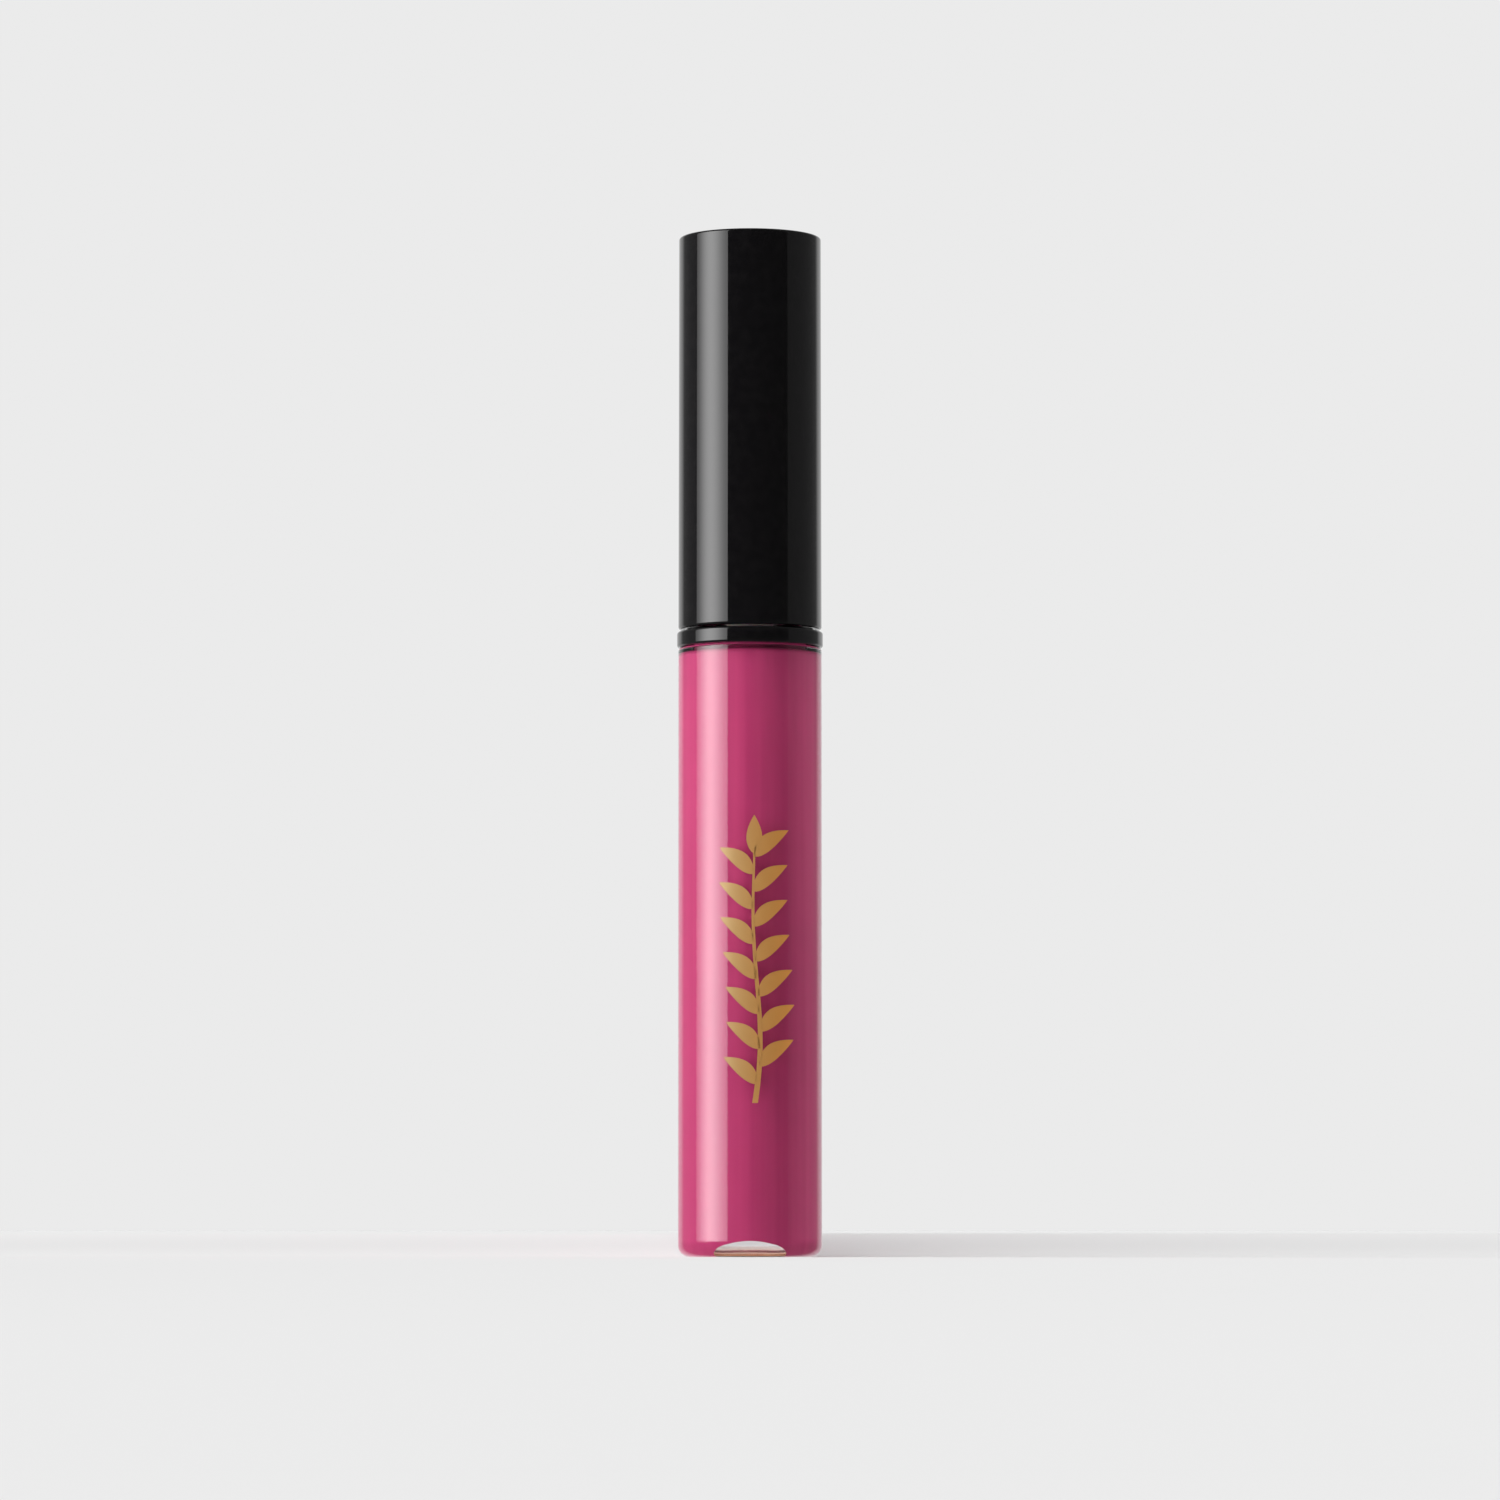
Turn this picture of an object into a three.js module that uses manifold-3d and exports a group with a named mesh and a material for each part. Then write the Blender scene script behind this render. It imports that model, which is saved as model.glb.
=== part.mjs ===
// Lip gloss tube: a clear bottle with a threaded neck, a trim collar and a screw cap that carries the wand.
// Millimetres, +Z up. The origin is the centre of the base, on the surface that the tube stands on.

import * as THREE from 'three';
import { mergeVertices } from 'three/addons/utils/BufferGeometryUtils.js';
import Module from 'manifold-3d';

const wasm = await Module();
wasm.setup();

// ---- Driving dimensions ----

const MERGE_TOLERANCE = 1e-4;        // points closer than this are one
const SEGMENTS = 48;                 // facets round every turned piece
const ARC_STEPS = 3;                 // steps in a small edge radius
const FIT_GAP = 0.05;                // between pieces that sit on or in each other
const EDGE = 0.3;                    // small moulded edge radius

const BOTTLE_RADIUS = 8.0;
const BOTTLE_WALL = 1.8;
const BASE_CORNER = 1.3;             // outer radius round the foot
const PUNT_RADIUS = 3.7;             // domed recess under the base
const PUNT_HEIGHT = 0.35;
const CAVITY_FLOOR = 0.8;
const CAVITY_CORNER = 1.2;
const WELD_TOP = 1.8;                // clear ridge that the mould's parting leaves across the cavity floor
const WELD_HALF_WIDTH = 6.0;
const WELD_ROOT = 0.4;               // where it starts, inside the floor
const WELD_STEPS = 24;
const SHOULDER_HEIGHT = 67.7;
const SHOULDER_THICKNESS = 0.5;

const SEAT_RADIUS = 5.95;            // step on the shoulder that centres the collar
const SEAT_TOP = 69.45;
const NECK_RADIUS = 5.2;
const NECK_TOP = 80.0;
const NECK_BORE = 3.9;

const THREAD_LEAD = 2.4;
const THREAD_TURNS = 1.5;
const THREAD_START = 72.8;
const THREAD_SECTION = 0.5;          // radius of the ridge's round section
const MALE_CREST = 5.9;
const FEMALE_CREST = 6.02;
const THREAD_STEPS = 42;
const SECTION_STEPS = 4;             // half the sides of the ridge's section

const COLLAR_RADIUS = 8.15;
const COLLAR_BORE = 6.05;
const COLLAR_BOTTOM = 67.78;
const COLLAR_TOP = 69.55;

const CAP_BOTTOM = 69.82;
const CAP_TOP = 113.9;
const CAP_FOOT_RADIUS = 8.0;
const CAP_HEAD_RADIUS = 7.95;        // slight moulding draft towards the top
const CAP_BORE = 7.0;
const CAP_CEILING = 1.2;

const LINER_RADIUS = 6.9;            // inner cap's skirt
const LINER_BORE = 6.25;
const LINER_BOTTOM = 70.1;
const LINER_CEILING = 81.55;         // underside
const LINER_CEILING_THICKNESS = 1.5;
const SOCKET_RADIUS = 3.2;
const SOCKET_DEPTH = 9.0;
const SOCKET_TOP_THICKNESS = 1.5;

const WIPER_FLANGE_RADIUS = 4.9;
const WIPER_FLANGE = 0.6;
const WIPER_BORE = 3.1;
const WIPER_LIP = 2.15;              // radius of the wiping lip
const WIPER_BOTTOM = 70.0;
const WIPER_CONE_TOP = 72.8;

const WASHER_INNER = 2.12;
const WASHER_OUTER = 4.8;

const ROD_RADIUS = 2.0;
const ROD_BOTTOM = 22.0;
const PLUG_RADIUS = 1.0;             // core's plug in the rod
const PLUG_LENGTH = 6.0;

const TIP_RADIUS = 2.05;
const TIP_BOTTOM = 7.6;
const TIP_ROUND = 2.6;               // height of the tip's rounded end
const TIP_STEPS = 6;
const SLANT_ANGLE = THREE.MathUtils.degToRad(22);
const SLANT_CENTRE_HEIGHT = 11.6;    // where the slanted face crosses the axis
const FLOCK_THICKNESS = 0.4;
const CUTTER_SIZE = 30;              // length of a cutting block or bar, wider than the bottle

const WAND_CHANNEL = 2.6;            // hollow that the wand leaves in the gloss
const CHANNEL_BOTTOM = 6.4;
const FILL_TOP = 69.0;

// ---- Shape helpers ----

// Points of an arc in the (radius, height) plane, from one angle to another in degrees.
function arc(centreRadius, centreHeight, radius, fromDegrees, toDegrees, steps = ARC_STEPS) {
  const points = [];
  for (let i = 0; i <= steps; i += 1) {
    const angle = THREE.MathUtils.degToRad(fromDegrees + ((toDegrees - fromDegrees) * i) / steps);
    points.push([centreRadius + radius * Math.cos(angle), centreHeight + radius * Math.sin(angle)]);
  }
  return points;
}

// A profile runs anticlockwise with the radius to the right and +Z up, so its faces point outwards.
function revolve(profile) {
  const points = profile.map(([radius, height]) => new THREE.Vector2(Math.max(radius, 0), height));
  const geometry = new THREE.LatheGeometry(points, SEGMENTS);
  geometry.rotateX(Math.PI / 2);
  return geometry;
}

// A ring's profile closes on itself.
function revolveRing(profile) {
  return revolve([...profile, profile[0]]);
}

function toSolid(geometry) {
  const bare = geometry.clone();
  bare.deleteAttribute('normal');
  bare.deleteAttribute('uv');
  const merged = mergeVertices(bare, MERGE_TOLERANCE);
  const corners = merged.index.array;
  const triangles = [];
  for (let i = 0; i < corners.length; i += 3) {
    const [a, b, c] = [corners[i], corners[i + 1], corners[i + 2]];
    if (a !== b && b !== c && c !== a) triangles.push(a, b, c);
  }
  return new wasm.Manifold(new wasm.Mesh({
    numProp: 3,
    vertProperties: new Float32Array(merged.attributes.position.array),
    triVerts: new Uint32Array(triangles),
  }));
}

function toGeometry(solid) {
  const mesh = solid.getMesh();
  const geometry = new THREE.BufferGeometry();
  geometry.setAttribute('position', new THREE.BufferAttribute(mesh.vertProperties, mesh.numProp));
  geometry.setIndex(new THREE.BufferAttribute(mesh.triVerts, 1));
  geometry.computeVertexNormals();
  return geometry;
}

class Helix extends THREE.Curve {
  constructor(radius, start) {
    super();
    this.radius = radius;
    this.start = start;
  }

  getPoint(t, target = new THREE.Vector3()) {
    const angle = 2 * Math.PI * THREAD_TURNS * t;
    const height = this.start + THREAD_LEAD * THREAD_TURNS * t;
    return target.set(this.radius * Math.cos(angle), this.radius * Math.sin(angle), height);
  }
}

// A right-hand thread ridge with a round section.
function threadRidge(centreRadius, start) {
  const section = new THREE.Shape();
  section.absarc(0, 0, THREAD_SECTION, 0, 2 * Math.PI, false);
  const ridge = new THREE.ExtrudeGeometry(section, {
    steps: THREAD_STEPS,
    curveSegments: SECTION_STEPS,
    bevelEnabled: false,
    extrudePath: new Helix(centreRadius, start),
  });
  return toSolid(ridge);
}

// ---- Bottle ----

// The bell-shaped weld ridge runs front to back, and is longer than the bottle is wide.
function weldRidge(lift = 0) {
  const base = CAVITY_FLOOR - FIT_GAP;
  const points = [new THREE.Vector2(-WELD_HALF_WIDTH, WELD_ROOT), new THREE.Vector2(WELD_HALF_WIDTH, WELD_ROOT)];
  for (let i = 0; i <= WELD_STEPS; i += 1) {
    const share = 1 - (2 * i) / WELD_STEPS;
    const rise = (WELD_TOP - base) * Math.cos((share * Math.PI) / 2) ** 2;
    points.push(new THREE.Vector2(share * WELD_HALF_WIDTH, base + rise + lift));
  }
  const ridge = new THREE.ExtrudeGeometry(new THREE.Shape(points), { depth: CUTTER_SIZE, bevelEnabled: false });
  ridge.rotateX(Math.PI / 2);
  ridge.translate(0, CUTTER_SIZE / 2, 0);
  return toSolid(ridge);
}

function bottleGeometry() {
  const cavity = BOTTLE_RADIUS - BOTTLE_WALL;
  const domeRadius = (PUNT_RADIUS ** 2 + PUNT_HEIGHT ** 2) / (2 * PUNT_HEIGHT);
  const domeAngle = THREE.MathUtils.radToDeg(Math.asin(PUNT_RADIUS / domeRadius));
  const ceiling = SHOULDER_HEIGHT - SHOULDER_THICKNESS;
  const body = revolve([
    ...arc(0, PUNT_HEIGHT - domeRadius, domeRadius, 90, 90 - domeAngle),
    ...arc(BOTTLE_RADIUS - BASE_CORNER, BASE_CORNER, BASE_CORNER, -90, 0),
    ...arc(BOTTLE_RADIUS - EDGE, SHOULDER_HEIGHT - EDGE, EDGE, 0, 90),
    [SEAT_RADIUS, SHOULDER_HEIGHT],
    [SEAT_RADIUS, SEAT_TOP],
    [NECK_RADIUS, SEAT_TOP + EDGE],
    [NECK_RADIUS, NECK_TOP - EDGE],
    [NECK_RADIUS - EDGE, NECK_TOP],
    [NECK_BORE, NECK_TOP],
    [NECK_BORE, SHOULDER_HEIGHT - EDGE],
    [cavity - SHOULDER_THICKNESS, ceiling],
    [cavity, ceiling - SHOULDER_THICKNESS],
    ...arc(cavity - CAVITY_CORNER, CAVITY_FLOOR + CAVITY_CORNER, CAVITY_CORNER, 0, -90),
    [0, CAVITY_FLOOR],
  ]);
  const middleOfWall = BOTTLE_RADIUS - BOTTLE_WALL / 2;
  const foot = revolve([
    [0, WELD_ROOT],
    [middleOfWall, WELD_ROOT],
    [middleOfWall, WELD_TOP + EDGE],
    [0, WELD_TOP + EDGE],
  ]);
  const thread = threadRidge(MALE_CREST - THREAD_SECTION, THREAD_START);
  return toGeometry(toSolid(body).add(weldRidge().intersect(toSolid(foot))).add(thread));
}

function glossGeometry() {
  const outer = BOTTLE_RADIUS - BOTTLE_WALL - FIT_GAP;
  const floor = CAVITY_FLOOR + FIT_GAP;
  const ceiling = SHOULDER_HEIGHT - SHOULDER_THICKNESS - FIT_GAP;
  const fill = revolve([
    [0, floor],
    ...arc(outer - CAVITY_CORNER, floor + CAVITY_CORNER, CAVITY_CORNER, -90, 0),
    [outer, ceiling - SHOULDER_THICKNESS],
    [outer - SHOULDER_THICKNESS, ceiling],
    [NECK_BORE - FIT_GAP, SHOULDER_HEIGHT - EDGE - FIT_GAP],
    [NECK_BORE - FIT_GAP, FILL_TOP],
    [WAND_CHANNEL, FILL_TOP],
    [WAND_CHANNEL, CHANNEL_BOTTOM + EDGE],
    [WAND_CHANNEL - EDGE, CHANNEL_BOTTOM],
    [0, CHANNEL_BOTTOM],
  ]);
  return toGeometry(toSolid(fill).subtract(weldRidge(FIT_GAP)));
}

// ---- Collar ----

function collarGeometry() {
  const edgeRadius = COLLAR_RADIUS - EDGE;
  return revolveRing([
    [COLLAR_BORE, COLLAR_BOTTOM],
    ...arc(edgeRadius, COLLAR_BOTTOM + EDGE, EDGE, -90, 0),
    ...arc(edgeRadius, COLLAR_TOP - EDGE, EDGE, 0, 90),
    [COLLAR_BORE, COLLAR_TOP],
  ]);
}

// ---- Neck fittings ----

function wiperGeometry() {
  const seat = NECK_TOP + FIT_GAP;
  const sleeve = NECK_BORE - FIT_GAP;
  return revolveRing([
    [WIPER_LIP, WIPER_BOTTOM],
    [WIPER_LIP + EDGE, WIPER_BOTTOM],
    [sleeve, WIPER_CONE_TOP - EDGE],
    [sleeve, seat],
    [WIPER_FLANGE_RADIUS, seat],
    [WIPER_FLANGE_RADIUS, seat + WIPER_FLANGE],
    [WIPER_BORE, seat + WIPER_FLANGE],
    [WIPER_BORE, WIPER_CONE_TOP],
    [WIPER_LIP, WIPER_BOTTOM + EDGE],
  ]);
}

function washerGeometry() {
  const bottom = NECK_TOP + WIPER_FLANGE + 2 * FIT_GAP;
  const top = LINER_CEILING - FIT_GAP;
  return revolveRing([
    [WASHER_INNER, bottom],
    [WASHER_OUTER, bottom],
    [WASHER_OUTER, top],
    [WASHER_INNER, top],
  ]);
}

// ---- Cap ----

function capShellGeometry() {
  const ceiling = CAP_TOP - CAP_CEILING;
  return revolve([
    [0, ceiling],
    ...arc(CAP_BORE - EDGE, ceiling - EDGE, EDGE, 90, 0),
    [CAP_BORE, CAP_BOTTOM + EDGE],
    [CAP_BORE + EDGE, CAP_BOTTOM],
    ...arc(CAP_FOOT_RADIUS - EDGE, CAP_BOTTOM + EDGE, EDGE, -90, 0),
    ...arc(CAP_HEAD_RADIUS - EDGE, CAP_TOP - EDGE, EDGE, 0, 90),
    [0, CAP_TOP],
  ]);
}

function innerCapGeometry() {
  const socketBore = ROD_RADIUS + FIT_GAP;
  const deck = LINER_CEILING + LINER_CEILING_THICKNESS;
  const socketCeiling = LINER_CEILING + SOCKET_DEPTH;
  const socketTop = socketCeiling + SOCKET_TOP_THICKNESS;
  const body = revolve([
    [0, socketCeiling],
    [socketBore, socketCeiling],
    [socketBore, LINER_CEILING],
    [LINER_BORE, LINER_CEILING],
    [LINER_BORE, LINER_BOTTOM + EDGE],
    [LINER_BORE + EDGE, LINER_BOTTOM],
    [LINER_RADIUS, LINER_BOTTOM],
    [LINER_RADIUS, deck - EDGE],
    [LINER_RADIUS - EDGE, deck],
    [SOCKET_RADIUS, deck],
    [SOCKET_RADIUS, socketTop - EDGE],
    [SOCKET_RADIUS - EDGE, socketTop],
    [0, socketTop],
  ]);
  const skirt = revolve([
    [0, LINER_BOTTOM],
    [LINER_RADIUS, LINER_BOTTOM],
    [LINER_RADIUS, LINER_CEILING],
    [0, LINER_CEILING],
  ]);
  const ridge = threadRidge(FEMALE_CREST + THREAD_SECTION, THREAD_START + THREAD_LEAD / 2);
  return toGeometry(toSolid(body).add(ridge.intersect(toSolid(skirt))));
}

// ---- Wand ----

function rodGeometry() {
  const top = LINER_CEILING + SOCKET_DEPTH - FIT_GAP;
  const socket = PLUG_RADIUS + FIT_GAP;
  return revolve([
    [0, ROD_BOTTOM + PLUG_LENGTH],
    [socket, ROD_BOTTOM + PLUG_LENGTH],
    [socket, ROD_BOTTOM],
    [ROD_RADIUS - EDGE, ROD_BOTTOM],
    [ROD_RADIUS, ROD_BOTTOM + EDGE],
    [ROD_RADIUS, top],
    [0, top],
  ]);
}

// The slanted applicator shape, shrunk by an inset on every side and cut off flat at the top.
function slantedTip(inset, top) {
  const radius = TIP_RADIUS - inset;
  const bottom = TIP_BOTTOM + inset;
  const profile = [];
  for (let i = 0; i <= TIP_STEPS; i += 1) {
    const angle = (Math.PI / 2) * (i / TIP_STEPS);
    profile.push([radius * Math.sin(angle), bottom + TIP_ROUND * (1 - Math.cos(angle))]);
  }
  const bullet = revolve([...profile, [radius, top], [0, top]]);
  const cutter = new THREE.BoxGeometry(CUTTER_SIZE, CUTTER_SIZE, CUTTER_SIZE);
  cutter.translate(CUTTER_SIZE / 2 - inset, 0, 0);
  cutter.rotateY(SLANT_ANGLE);
  cutter.translate(0, 0, SLANT_CENTRE_HEIGHT);
  return toSolid(bullet).subtract(toSolid(cutter));
}

function coreGeometry() {
  const plug = revolve([
    [0, ROD_BOTTOM - EDGE],
    [PLUG_RADIUS, ROD_BOTTOM - EDGE],
    [PLUG_RADIUS, ROD_BOTTOM + PLUG_LENGTH - EDGE],
    [0, ROD_BOTTOM + PLUG_LENGTH - EDGE],
  ]);
  const foot = slantedTip(FLOCK_THICKNESS + FIT_GAP, ROD_BOTTOM - FIT_GAP);
  return toGeometry(foot.add(toSolid(plug)));
}

function flockGeometry() {
  const top = ROD_BOTTOM - EDGE;
  const outside = slantedTip(0, top);
  const inside = slantedTip(FLOCK_THICKNESS, top + EDGE);
  return toGeometry(outside.subtract(inside));
}

// ---- Finishes ----

const clearPlastic = { color: 0xf2f4f5, roughness: 0.05, metalness: 0, transparent: true, opacity: 0.3 };
const pinkGloss = { color: 0xd8467f, roughness: 0.2, metalness: 0 };
const blackPlastic = { color: 0x0b0a0c, roughness: 0.12, metalness: 0 };
const blackLiner = { color: 0x17161a, roughness: 0.4, metalness: 0 };
const softNatural = { color: 0xe9e7e2, roughness: 0.5, metalness: 0 };
const softWasher = { color: 0xf4f2ee, roughness: 0.6, metalness: 0 };
const rodBlack = { color: 0x121114, roughness: 0.25, metalness: 0 };
const corePlastic = { color: 0xf0eeea, roughness: 0.4, metalness: 0 };
const pinkFlock = { color: 0xe0789f, roughness: 0.95, metalness: 0 };

function piece(name, geometry, finish) {
  const mesh = new THREE.Mesh(geometry, new THREE.MeshStandardMaterial(finish));
  mesh.name = name;
  return mesh;
}

// ---- Assembly ----

const bottleGroup = new THREE.Group();
bottleGroup.add(
  piece('bottle', bottleGeometry(), clearPlastic),
  piece('gloss_fill', glossGeometry(), pinkGloss),
  piece('wiper', wiperGeometry(), softNatural),
);

const capGroup = new THREE.Group();
capGroup.add(
  piece('cap_shell', capShellGeometry(), blackPlastic),
  piece('inner_cap', innerCapGeometry(), blackLiner),
  piece('rod', rodGeometry(), rodBlack),
  piece('applicator_core', coreGeometry(), corePlastic),
  piece('applicator_flock', flockGeometry(), pinkFlock),
);

const group = new THREE.Group();
group.add(bottleGroup);
group.add(piece('collar', collarGeometry(), blackPlastic));
group.add(piece('sealing_washer', washerGeometry(), softWasher));
group.add(capGroup);

export default group;
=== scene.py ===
"""Lip gloss tube: the looks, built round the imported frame.

Sizes are in metres, in the frame's own coordinates: +Z up, the tube standing on z = 0 with its foil
ornament towards -Y. What the frame knows is read from it; the finer sizes are fields of each class.
"""

import logging
import math
from collections.abc import Callable, Iterator
from contextlib import contextmanager
from dataclasses import dataclass, field
from enum import Enum

import bpy
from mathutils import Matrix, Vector


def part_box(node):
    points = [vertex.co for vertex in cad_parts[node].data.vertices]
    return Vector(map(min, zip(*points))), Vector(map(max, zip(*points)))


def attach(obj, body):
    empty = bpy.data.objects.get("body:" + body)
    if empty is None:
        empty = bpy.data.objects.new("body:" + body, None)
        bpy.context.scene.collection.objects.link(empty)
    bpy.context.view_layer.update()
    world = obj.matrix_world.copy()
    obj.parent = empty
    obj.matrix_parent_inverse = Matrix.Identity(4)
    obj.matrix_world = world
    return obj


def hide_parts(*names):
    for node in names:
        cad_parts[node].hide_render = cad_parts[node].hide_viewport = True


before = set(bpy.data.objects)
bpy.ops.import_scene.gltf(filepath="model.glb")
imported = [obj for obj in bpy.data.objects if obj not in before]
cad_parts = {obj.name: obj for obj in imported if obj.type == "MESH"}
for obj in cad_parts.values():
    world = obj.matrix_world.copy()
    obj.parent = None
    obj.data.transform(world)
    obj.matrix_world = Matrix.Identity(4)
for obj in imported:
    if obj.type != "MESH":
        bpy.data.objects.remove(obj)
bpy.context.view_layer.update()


LOG = logging.getLogger("lip_gloss")
MM = 0.001
WELD = 1e-7
FULL_TURN = 2 * math.pi
QUARTER_TURN = math.pi / 2

Object = bpy.types.Object
Material = bpy.types.Material
Socket = bpy.types.NodeSocket
Point = tuple[float, float]
Triple = tuple[float, float, float]
Colour = Triple


class Body(Enum):
    """The frame's moving bodies."""

    BOTTLE = "bottle"
    COLLAR = "collar"
    WASHER = "washer"
    CAP = "cap"


class Meeting(Enum):
    """What becomes of two closed solids that meet."""

    JOIN = "UNION"
    CUT = "DIFFERENCE"
    SHARE = "INTERSECT"


class Reach(Enum):
    """Which objects a light reaches: the listed ones only, or all but those."""

    ONLY = "INCLUDE"
    ALL_BUT = "EXCLUDE"


class Course(Enum):
    """How a mapped value runs between its two ends."""

    STRAIGHT = "LINEAR"
    EASED = "SMOOTHSTEP"


# ---- Bench: adding, selecting, editing and finishing ----


def pick(piece: Object) -> None:
    """Makes one object the only selected one, and active.

    Args:
        piece: the object to work on.
    """
    bpy.ops.object.select_all(action="DESELECT")
    piece.select_set(True)
    bpy.context.view_layer.objects.active = piece


def add(name: str, operator: Callable[..., object], **settings: object) -> Object:
    """Adds an object with nothing else selected.

    Args:
        name: its name.
        operator: the operator that adds it.
        **settings: the operator's own values.

    Returns:
        The new object, selected and active.
    """
    bpy.ops.object.select_all(action="DESELECT")
    operator(**settings)
    made = bpy.context.active_object
    made.name = made.data.name = name
    return made


@contextmanager
def editing(piece: Object, everything: bool = True) -> Iterator[None]:
    """Opens a mesh in edit mode, and closes it afterwards.

    Args:
        piece: the mesh object to edit.
        everything: whether all of it is selected, or only what was selected before.
    """
    pick(piece)
    bpy.ops.object.mode_set(mode="EDIT")
    if everything:
        bpy.ops.mesh.select_all(action="SELECT")
    try:
        yield
    finally:
        bpy.ops.object.mode_set(mode="OBJECT")


def select_where(piece: Object, test: Callable[[Vector], bool]) -> None:
    """Selects a mesh's vertices by their place.

    Args:
        piece: the mesh object, in object mode.
        test: says whether a vertex at a place is selected.
    """
    with editing(piece):
        bpy.ops.mesh.select_mode(type="VERT")
        bpy.ops.mesh.select_all(action="DESELECT")
    for vertex in piece.data.vertices:
        vertex.select = test(vertex.co)


def apply_modifier(piece: Object, kind: str, **settings: object) -> None:
    """Adds a modifier, sets it and applies it.

    Args:
        piece: the object that is modified.
        kind: the modifier's type.
        **settings: the modifier's own values.
    """
    modifier = piece.modifiers.new(kind.lower(), kind)
    for name, value in settings.items():
        setattr(modifier, name, value)
    pick(piece)
    bpy.ops.object.modifier_apply(modifier=modifier.name)


def close_up(piece: Object) -> None:
    """Merges doubled points and turns every face outwards.

    Args:
        piece: the closed mesh object.
    """
    with editing(piece):
        bpy.ops.mesh.remove_doubles(threshold=WELD)
        bpy.ops.mesh.normals_make_consistent(inside=False)


def combine(piece: Object, meeting: Meeting, other: Object) -> None:
    """Joins, cuts or crosses a piece with a second closed solid, which is then removed.

    Args:
        piece: the solid that stays.
        meeting: what becomes of the two.
        other: the second solid.
    """
    apply_modifier(piece, "BOOLEAN", operation=meeting.value, solver="EXACT", object=other)
    bpy.data.objects.remove(other)


def smooth(piece: Object, degrees: float = 40.0) -> None:
    """Shades a piece smooth, apart from its sharp edges.

    Args:
        piece: the object to shade.
        degrees: edges sharper than this stay sharp.
    """
    pick(piece)
    bpy.ops.object.shade_smooth_by_angle(angle=math.radians(degrees))


def settle(
    piece: Object, body: Body, slot: str, material: Material, *nodes: str, crease: float = 40.0
) -> None:
    """Shades a finished piece and gives it its material, its body and the frame nodes that it stands for.

    Args:
        piece: the finished object.
        body: the body that it moves with.
        slot: the record's material slot; not used.
        material: its finish.
        *nodes: the frame's nodes that it replaces.
        crease: edges sharper than this, in degrees, stay sharp.
    """
    smooth(piece, crease)
    piece.data.materials.clear()
    piece.data.materials.append(material)
    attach(piece, body.value)
    if nodes:
        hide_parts(*nodes)
    LOG.info("%s: %d faces, rides on %s", piece.name, len(piece.data.polygons), body.value)


# ---- Turned shapes ----


@dataclass(frozen=True)
class Extent:
    """How far a round frame node reaches from the axis, and between which heights."""

    radius: float
    bottom: float
    top: float

    @classmethod
    def of(cls, node: str) -> "Extent":
        """Reads a node's extent from the frame."""
        low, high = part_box(node)
        return cls(high.x, low.z, high.z)


@dataclass
class Outline:
    """Half the section of a turned piece: corners as (radius, height), each with its own rounding."""

    closed: bool = False
    steps: int = 6
    dome_steps: int = 12
    support: float = 1.25
    corners: list[tuple[Point, float]] = field(default_factory=list)

    def through(self, *corners: tuple[float, ...]) -> "Outline":
        """Adds corners.

        Args:
            *corners: each a radius, a height and, where it isn't sharp, the radius of its round.

        Returns:
            The outline.
        """
        for radius, height, *rounding in corners:
            self.corners.append(((radius, height), rounding[0] if rounding else 0.0))
        return self

    def dome(self, rim: float, rise: float) -> "Outline":
        """Adds a spherical dome standing on height 0, from its top on the axis out to its rim.

        Args:
            rim: the dome's radius at its foot.
            rise: how high its top stands.

        Returns:
            The outline.
        """
        ball = (rim**2 + rise**2) / (2 * rise)
        reach = math.asin(rim / ball)
        for index in range(self.dome_steps):
            angle = reach * index / self.dome_steps
            self.through((ball * math.sin(angle), rise - ball * (1 - math.cos(angle))))
        return self

    def rounded(self, before: Point, corner: Point, after: Point, radius: float) -> list[Point]:
        """Rounds one corner.

        Args:
            before: the corner before it.
            corner: the corner itself.
            after: the corner after it.
            radius: the radius of the round.

        Returns:
            The points of the arc, from one straight to the next, with a supporting point at each end.
        """
        tip, back, ahead = Vector(corner), Vector(before) - Vector(corner), Vector(after) - Vector(corner)
        half = back.angle(ahead) / 2
        back.normalize()
        ahead.normalize()
        trim = radius / math.tan(half)
        centre = tip + (back + ahead).normalized() * (radius / math.sin(half))
        start, end = tip + back * trim - centre, tip + ahead * trim - centre
        turn_angle = start.angle(end)
        points = [tip + back * trim * self.support]
        for index in range(self.steps + 1):
            share = index / self.steps
            low, high = math.sin((1 - share) * turn_angle), math.sin(share * turn_angle)
            points.append(centre + (start * low + end * high) / math.sin(turn_angle))
        points.append(tip + ahead * trim * self.support)
        return [(point.x, point.y) for point in points]

    def points(self) -> list[Point]:
        """Works out the whole outline, with its rounds.

        Returns:
            Its points; a closed outline ends where it starts.
        """
        made: list[Point] = []
        count = len(self.corners)
        for index, (corner, rounding) in enumerate(self.corners):
            if rounding > 0:
                before = self.corners[index - 1][0]
                after = self.corners[(index + 1) % count][0]
                made += self.rounded(before, corner, after, rounding)
            else:
                made.append(corner)
        return made + made[:1] if self.closed else made


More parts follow.
